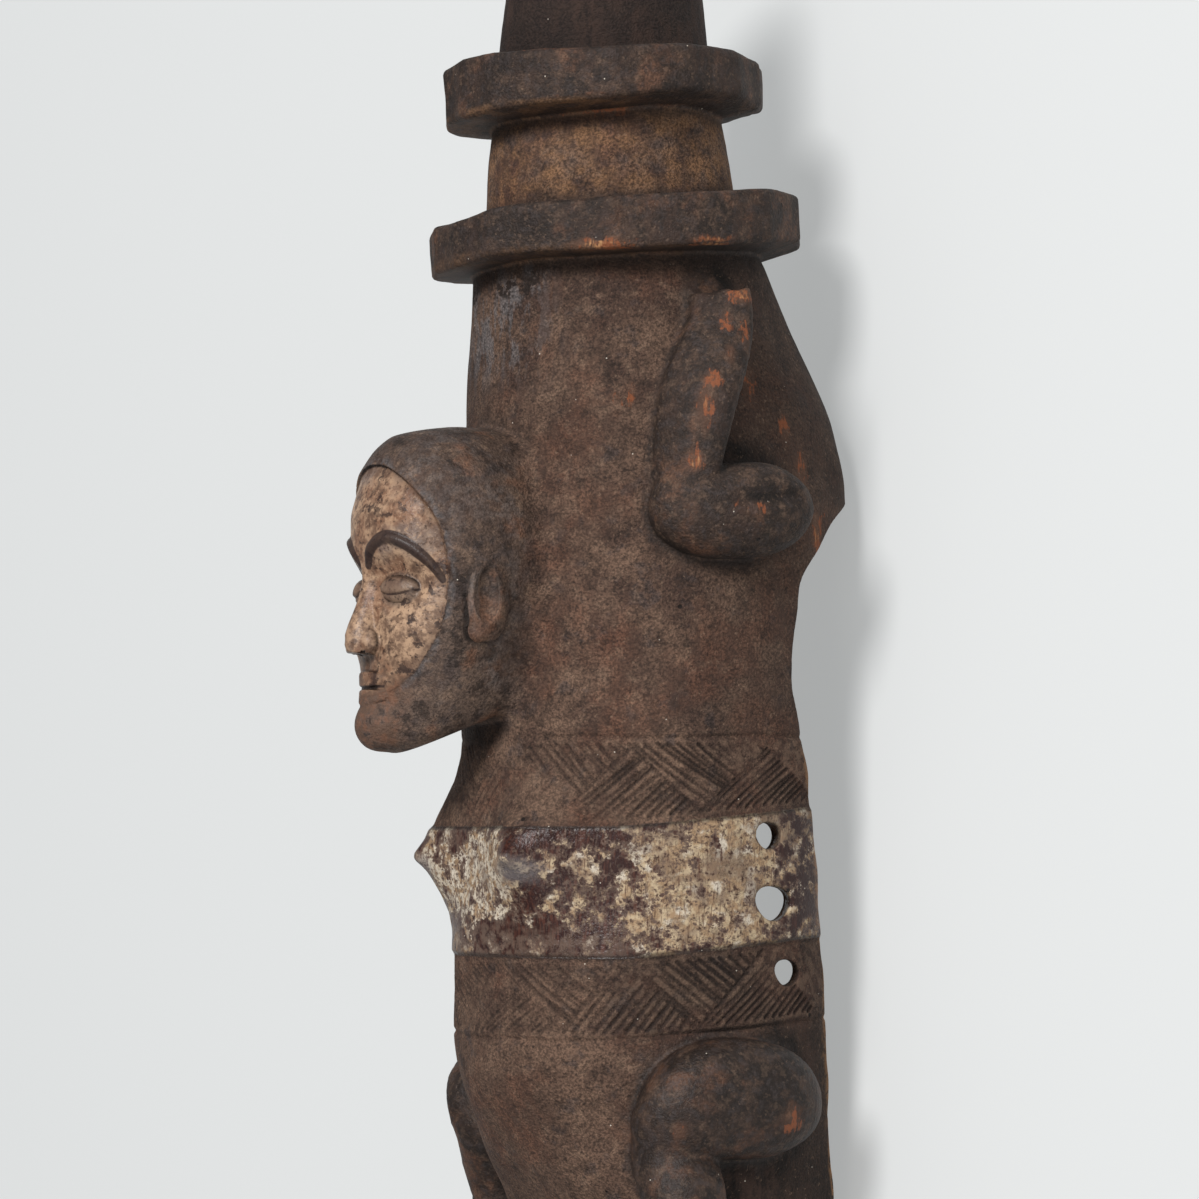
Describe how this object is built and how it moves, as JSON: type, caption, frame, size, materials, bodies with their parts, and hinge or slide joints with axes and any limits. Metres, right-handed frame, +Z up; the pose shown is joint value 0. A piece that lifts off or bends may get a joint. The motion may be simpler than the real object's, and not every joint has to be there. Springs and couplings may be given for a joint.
{
  "type": "carved wooden headdress mask",
  "caption": "Long hollow headdress mask carved from one log: head on the front, bent arms and legs, painted belt, collars and neck; lies face up on its open back",
  "frame": {"origin": "on the floor under the middle of the mask as it lies face up", "axes": "+Z up, the way the face looks; +Y along the log to the neck and collars; +X to the figure's left"},
  "size_m": [0.2902, 0.9792, 0.3092],
  "materials": {
    "carved_wood": "dark crusted patina, worn wood on the edges, white earth on the belt and pale earth on the face"
  },
  "bodies": {
    "root": {"carved_mask": "carved_wood"}
  },
  "joints": []
}
